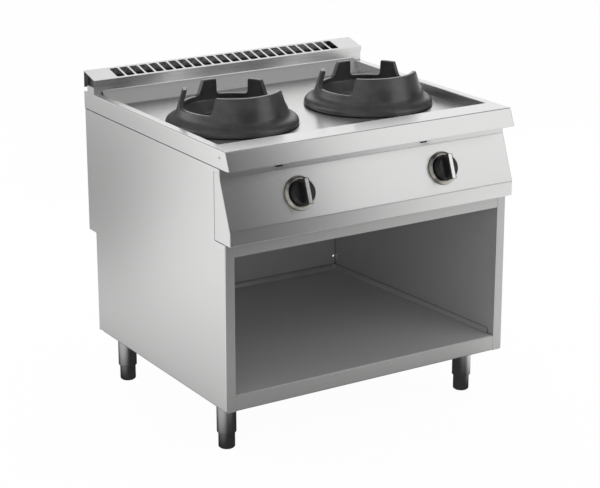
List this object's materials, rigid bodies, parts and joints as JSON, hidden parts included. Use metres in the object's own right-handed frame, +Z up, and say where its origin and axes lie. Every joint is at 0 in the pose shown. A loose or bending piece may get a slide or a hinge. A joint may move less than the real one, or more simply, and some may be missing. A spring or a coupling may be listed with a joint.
{
  "type": "wok range",
  "caption": "Free-standing gas wok range: open steel cabinet on adjustable legs, recessed worktop with cast-iron wok rings, sloping control panel and slotted flue.",
  "frame": {"origin": "on the floor, under the middle of the whole range with its knobs", "axes": "+Z up, -Y towards the operator, +X to the operator's right"},
  "size_m": [0.8, 0.756, 0.8163],
  "materials": {
    "sheet_steel": "brushed stainless sheet",
    "duct_steel": "heat-darkened sheet",
    "pipe_steel": "zinc-plated",
    "cast_iron": "satin black cast iron",
    "brass": "turned brass",
    "bezel_steel": "circular brushed",
    "knob_black": "satin black moulding",
    "pointer_metal": "satin",
    "leg_steel": "satin stainless tube",
    "foot": "satin stainless"
  },
  "bodies": {
    "root": {"side_panel_left": "sheet_steel", "side_panel_right": "sheet_steel", "liner_left": "sheet_steel", "liner_right": "sheet_steel", "cabinet_floor": "sheet_steel", "cabinet_back": "sheet_steel", "upper_rail": "sheet_steel", "compartment_tray": "sheet_steel", "rear_panel": "sheet_steel", "control_panel": "sheet_steel", "worktop": "sheet_steel", "flue_cover": "sheet_steel", "flue_duct": "duct_steel", "gas_manifold": "pipe_steel", "gas_inlet": "pipe_steel", "burner_bracket_left": "pipe_steel", "burner_body_left": "cast_iron", "injector_left": "brass", "pilot_burner_left": "brass", "thermocouple_left": "brass", "gas_valve_left": "brass", "feed_pipe_left": "pipe_steel", "bezel_left": "bezel_steel", "leg_tube_front_left": "leg_steel", "leg_nut_front_left": "pipe_steel", "leg_tube_rear_left": "leg_steel", "leg_nut_rear_left": "pipe_steel", "burner_bracket_right": "pipe_steel", "burner_body_right": "cast_iron", "injector_right": "brass", "pilot_burner_right": "brass", "thermocouple_right": "brass", "gas_valve_right": "brass", "feed_pipe_right": "pipe_steel", "bezel_right": "bezel_steel", "leg_tube_front_right": "leg_steel", "leg_nut_front_right": "pipe_steel", "leg_tube_rear_right": "leg_steel", "leg_nut_rear_right": "pipe_steel"},
    "cap_left": {"burner_cap_left": "cast_iron"},
    "ring_left": {"wok_ring_left": "cast_iron"},
    "plug_left": {"valve_plug_left": "brass"},
    "knob_left": {"valve_stem_left": "pipe_steel", "knob_left": "knob_black", "knob_pointer_left": "pointer_metal"},
    "foot_front_left": {"leg_foot_front_left": "foot"},
    "foot_rear_left": {"leg_foot_rear_left": "foot"},
    "cap_right": {"burner_cap_right": "cast_iron"},
    "ring_right": {"wok_ring_right": "cast_iron"},
    "plug_right": {"valve_plug_right": "brass"},
    "knob_right": {"valve_stem_right": "pipe_steel", "knob_right": "knob_black", "knob_pointer_right": "pointer_metal"},
    "foot_front_right": {"leg_foot_front_right": "foot"},
    "foot_rear_right": {"leg_foot_rear_right": "foot"}
  },
  "joints": [
    {"name": "knob_turn_left", "type": "hinge", "parent": "root", "child": "plug_left", "pos_m": [-0.202, -0.32954, 0.632], "axis": [0, -0.9357, 0.3529], "range_deg": [0, 180]},
    {"name": "knob_push_left", "type": "slide", "parent": "plug_left", "child": "knob_left", "axis": [0, 0.9357, -0.3529], "range_m": [0, 0.004], "stiffness_N_per_m": 1500, "springref_m": -0.004},
    {"name": "ring_lift_left", "type": "slide", "parent": "root", "child": "ring_left", "axis": [0, 0, 1], "range_m": [0, 0.15]},
    {"name": "cap_lift_left", "type": "slide", "parent": "root", "child": "cap_left", "axis": [0, 0, 1], "range_m": [0, 0.12]},
    {"name": "foot_extend_front_left", "type": "slide", "parent": "root", "child": "foot_front_left", "axis": [0, 0, -1], "range_m": [0, 0.05]},
    {"name": "foot_extend_rear_left", "type": "slide", "parent": "root", "child": "foot_rear_left", "axis": [0, 0, -1], "range_m": [0, 0.05]},
    {"name": "knob_turn_right", "type": "hinge", "parent": "root", "child": "plug_right", "pos_m": [0.202, -0.32954, 0.632], "axis": [0, -0.9357, 0.3529], "range_deg": [0, 180]},
    {"name": "knob_push_right", "type": "slide", "parent": "plug_right", "child": "knob_right", "axis": [0, 0.9357, -0.3529], "range_m": [0, 0.004], "stiffness_N_per_m": 1500, "springref_m": -0.004},
    {"name": "ring_lift_right", "type": "slide", "parent": "root", "child": "ring_right", "axis": [0, 0, 1], "range_m": [0, 0.15]},
    {"name": "cap_lift_right", "type": "slide", "parent": "root", "child": "cap_right", "axis": [0, 0, 1], "range_m": [0, 0.12]},
    {"name": "foot_extend_front_right", "type": "slide", "parent": "root", "child": "foot_front_right", "axis": [0, 0, -1], "range_m": [0, 0.05]},
    {"name": "foot_extend_rear_right", "type": "slide", "parent": "root", "child": "foot_rear_right", "axis": [0, 0, -1], "range_m": [0, 0.05]}
  ]
}
